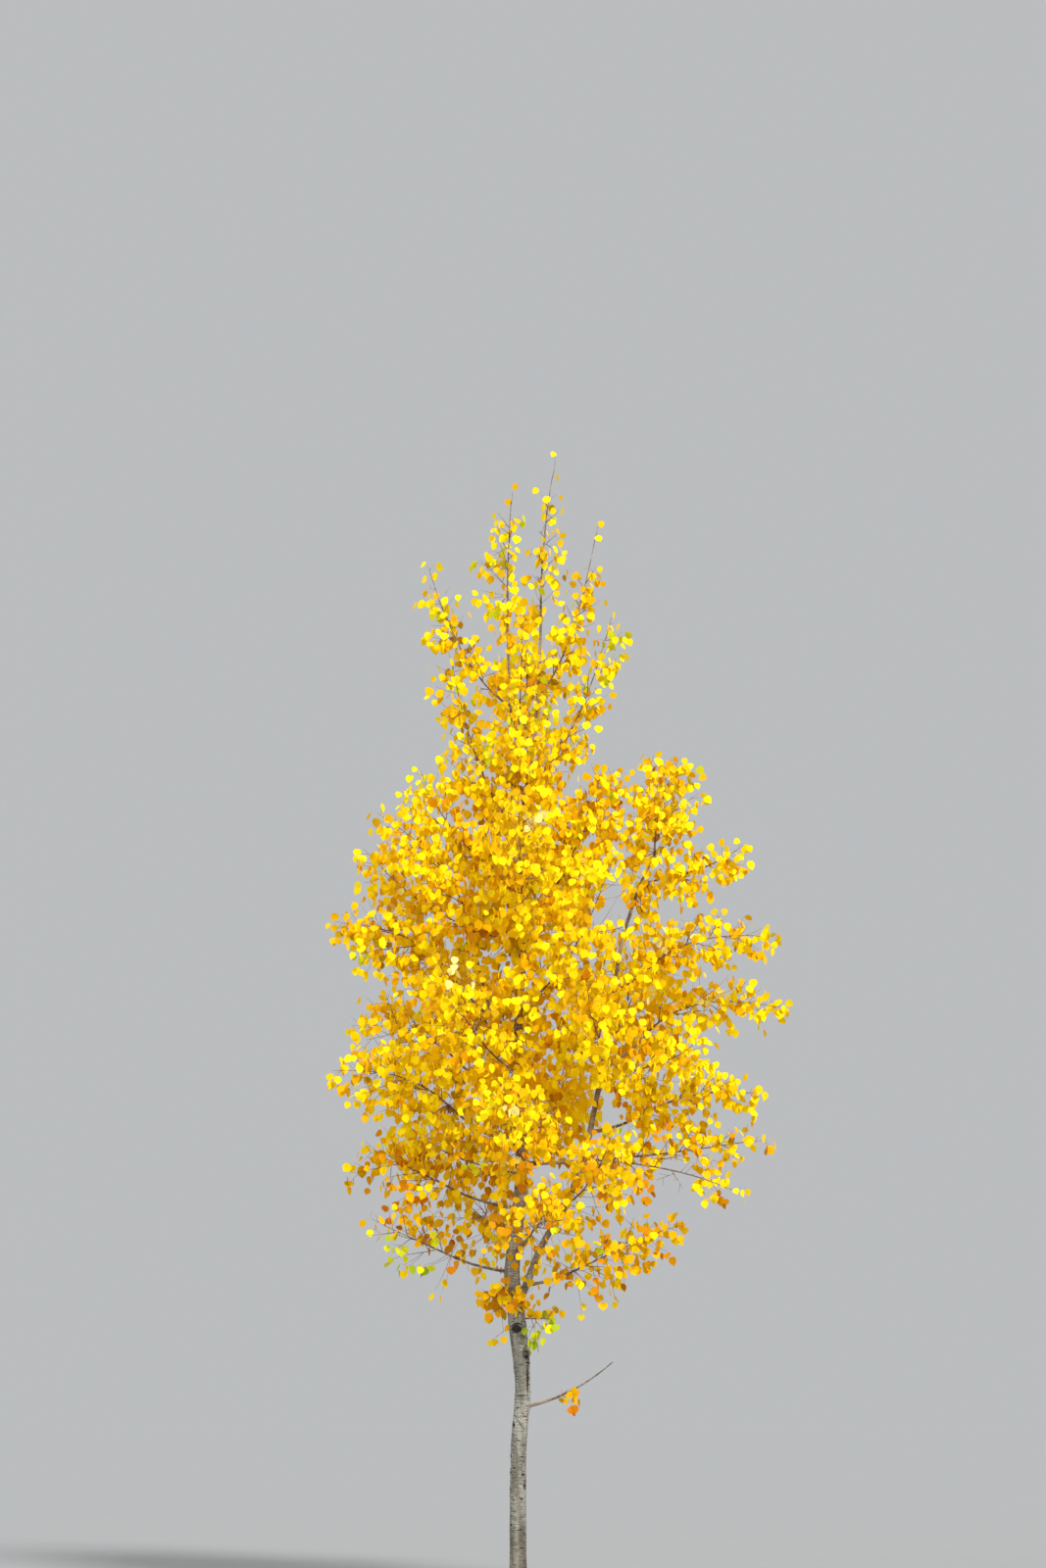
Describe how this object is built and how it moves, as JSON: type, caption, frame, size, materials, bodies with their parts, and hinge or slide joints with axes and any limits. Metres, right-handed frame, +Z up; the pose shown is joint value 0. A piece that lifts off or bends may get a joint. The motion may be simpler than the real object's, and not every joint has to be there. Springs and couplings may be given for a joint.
{
  "type": "poplar tree",
  "caption": "Young quaking aspen in yellow autumn leaf: pale tapering trunk, side stem and second leader, thin boughs, and masses of foliage in a pointed crown.",
  "frame": {"origin": "middle of the flat cut under the trunk, at ground level", "axes": "+Z up along the trunk, +X to the right in the front view, which looks along +Y"},
  "size_m": [2.9024, 2.22, 7.1344],
  "materials": {
    "bark": "smooth pale grey-cream bark with dark lenticels and branch scars",
    "bough_bark": "smooth tan-grey bark of thin boughs",
    "foliage": "thin yellow autumn leaves on brown twigs, matt to slightly glossy"
  },
  "bodies": {
    "root": {"trunk": "bark", "side_stem": "bark", "left_leader": "bark", "bare_bough": "bough_bark", "low_right_bough": "bough_bark", "low_left_bough": "bough_bark", "low_front_bough": "bough_bark", "low_back_bough": "bough_bark", "left_bough": "bough_bark", "right_sweep_bough": "bough_bark", "right_bough": "bough_bark", "right_rising_bough": "bough_bark", "right_high_bough": "bough_bark", "left_rising_bough": "bough_bark", "left_middle_bough": "bough_bark", "left_steep_bough": "bough_bark", "left_high_bough": "bough_bark", "right_upper_bough": "bough_bark", "bare_bough_sprig_leaves": "foliage", "skirt_front_leaves": "foliage", "skirt_right_leaves": "foliage", "low_right_leaves": "foliage", "low_left_leaves": "foliage", "low_front_leaves": "foliage", "low_back_leaves": "foliage", "left_lower_leaves": "foliage", "right_sweep_leaves": "foliage", "right_sweep_fork_leaves": "foliage", "right_leaves": "foliage", "right_rising_leaves": "foliage", "right_inner_leaves": "foliage", "right_high_leaves": "foliage", "right_upper_tip_leaves": "foliage", "side_stem_top_leaves": "foliage", "side_stem_front_leaves": "foliage", "side_stem_back_leaves": "foliage", "left_rising_leaves": "foliage", "left_middle_leaves": "foliage", "left_high_leaves": "foliage", "left_steep_leaves": "foliage", "left_upper_leaves": "foliage", "front_lower_leaves": "foliage", "back_lower_leaves": "foliage", "front_right_lower_leaves": "foliage", "back_left_lower_leaves": "foliage", "front_middle_leaves": "foliage", "back_middle_leaves": "foliage", "front_right_leaves": "foliage", "right_upper_leaves": "foliage", "front_upper_leaves": "foliage", "back_upper_leaves": "foliage", "left_shoulder_leaves": "foliage", "left_crown_leaves": "foliage", "right_crown_leaves": "foliage", "front_crown_leaves": "foliage", "back_crown_leaves": "foliage", "left_spire_leaves": "foliage", "right_spire_leaves": "foliage", "left_top_leaves": "foliage", "top_leaves": "foliage"}
  },
  "joints": []
}
